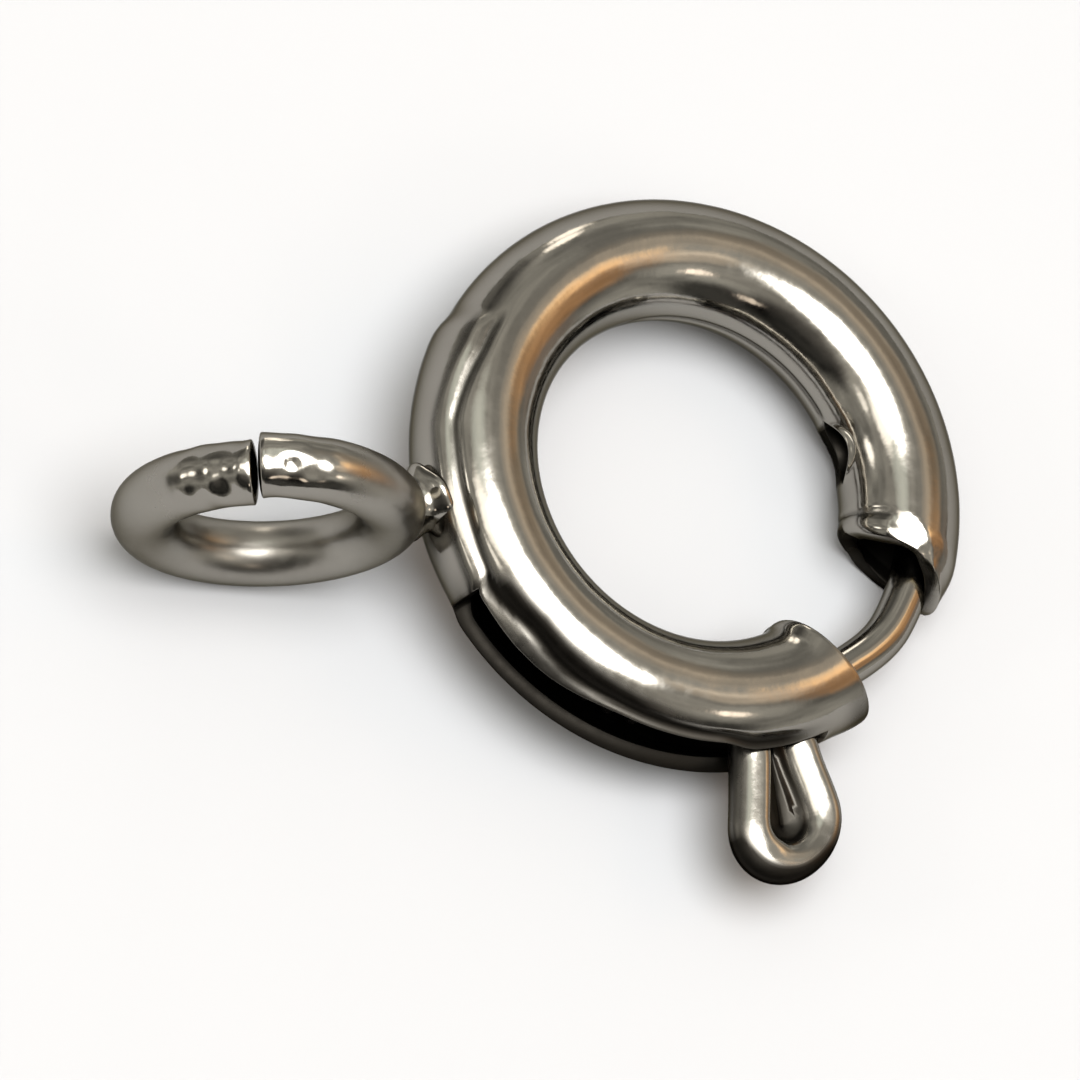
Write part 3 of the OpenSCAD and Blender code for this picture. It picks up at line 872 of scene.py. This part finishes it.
# The overhead panel's soft border, its faint halo, and its weaker lobes to the left and beyond
OVERHEAD = [(-75, 85, 16, 25, "#fffdf8", 2.0), (-75, 85, 24, 58, "#fff6ea", 0.12),
            (165, 68, 4, 13, "#fffaf2", 2.4), (110, 68, 4, 16, "#f4fff6", 0.5)]
# Small distant lamps, which the waves of the metal break up into dots and dashes
SMALL_LAMPS = [(79, 4, 2, 6, "#fff6ea", 2.8), (79, 14, 2, 6, "#fff6ea", 2.8),
               (-56, 41, 2, 6, "#ffeedd", 2.6), (-93, 30, 2, 6, "#ffeedd", 1.6),
               (165, 29, 3, 8, "#fffaf2", 3.0), (-172, 52, 2, 6, "#fffaf2", 1.7)]
ROOM_RED, ROOM_GREEN, ROOM_BLUE, ROOM_STRENGTH = 0.39, 0.378, 0.344, 1.52

light = add_node(tree, "ShaderNodeCombineXYZ", X=ROOM_RED, Y=ROOM_GREEN,
                 Z=ROOM_BLUE).outputs["Vector"]
light = shade(light, *WARM_WALL)
for glow in WARM_GLOWS:
    light = patch(light, *glow)
# Uneven walls, so that no band of the metal is one flat tone
walls = add_node(tree, "ShaderNodeTexNoise", Vector=room_way, Scale=3.2, Detail=2.0)
uneven = add_node(tree, "ShaderNodeMapRange", Value=walls.outputs["Fac"], From_Min=0.38,
                  From_Max=0.62, To_Min=0.65, To_Max=1.35)
light = add_node(tree, "ShaderNodeVectorMath", {"operation": "SCALE"}, Vector=light,
                 Scale=uneven.outputs["Result"]).outputs["Vector"]
for dark_place in DARK_SIDE:
    light = shade(light, *dark_place)
for bright_place in OVERHEAD + SMALL_LAMPS:
    light = patch(light, *bright_place)
background = add_node(tree, "ShaderNodeBackground", Color=light,
                      Strength=ROOM_STRENGTH)
add_node(tree, "ShaderNodeOutputWorld", Surface=background.outputs["Background"])
print("the room has", len(WARM_GLOWS + OVERHEAD + SMALL_LAMPS), "patches of light")

# %% Hang a soft lamp overhead
LAMP_WAY, LAMP_AWAY = towards(-75, 85), 0.5
lamp = bpy.data.lights.new("overhead_panel", "AREA")
lamp.shape = "DISK"
lamp.size = 0.36
lamp.energy = 1.9
lamp_object = bpy.data.objects.new("overhead_panel", lamp)
lamp_object.location = LAMP_WAY * LAMP_AWAY
lamp_object.rotation_mode = "QUATERNION"
lamp_object.rotation_quaternion = LAMP_WAY.to_track_quat("Z", "Y")
bpy.context.scene.collection.objects.link(lamp_object)
print("the lamp hangs", round(lamp_object.location.z, 3), "m up")

# %% [markdown]
# ## The camera
# The photograph looks down on the clasp from beyond the eye's side, with a long lens. The camera
# keeps that direction to the ring and that roll: the line from the eye's middle to the ring's
# middle rises a little to the right. It is aimed at the middle of what it sees of the clasp. The
# view transform is Standard, which keeps bright metal and a pale floor as bright as they are lit.
# Blender's default one rolls them off towards grey.

# %% Place the camera
VIEW_FROM = (TURNED.to_3x3() @ CAMERA_WAY).normalized()
RISE = math.radians(4.5)
eye_to_ring = TURNED.to_3x3() @ Vector((1, 0, 0))
flat = (eye_to_ring - eye_to_ring.dot(VIEW_FROM) * VIEW_FROM).normalized()
upright = VIEW_FROM.cross(flat)
right = math.cos(RISE) * flat - math.sin(RISE) * upright
up = math.sin(RISE) * flat + math.cos(RISE) * upright
seen = [node.matrix_world @ v.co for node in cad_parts.values() for v in node.data.vertices]
middle = sum((axis * (max(p.dot(axis) for p in seen) + min(p.dot(axis) for p in seen)) / 2
              for axis in (right, up, VIEW_FROM)), Vector())
DISTANCE, FRAME_WIDTH, SENSOR_WIDTH = 0.13588, 0.0112, 36
camera = bpy.data.cameras.new("camera")
camera.sensor_width = SENSOR_WIDTH
camera.lens = SENSOR_WIDTH * DISTANCE / FRAME_WIDTH
camera.clip_start, camera.clip_end = 0.01, 10
camera_object = bpy.data.objects.new("camera", camera)
camera_object.matrix_world = (Matrix.Translation(middle + VIEW_FROM * DISTANCE)
                              @ Matrix((right, up, VIEW_FROM)).transposed().to_4x4())
bpy.context.scene.collection.objects.link(camera_object)
bpy.context.scene.camera = camera_object
bpy.context.scene.view_settings.view_transform = "Standard"
print("camera looks from", [round(c, 4) for c in VIEW_FROM], "with a lens of",
      round(camera.lens, 1), "mm")
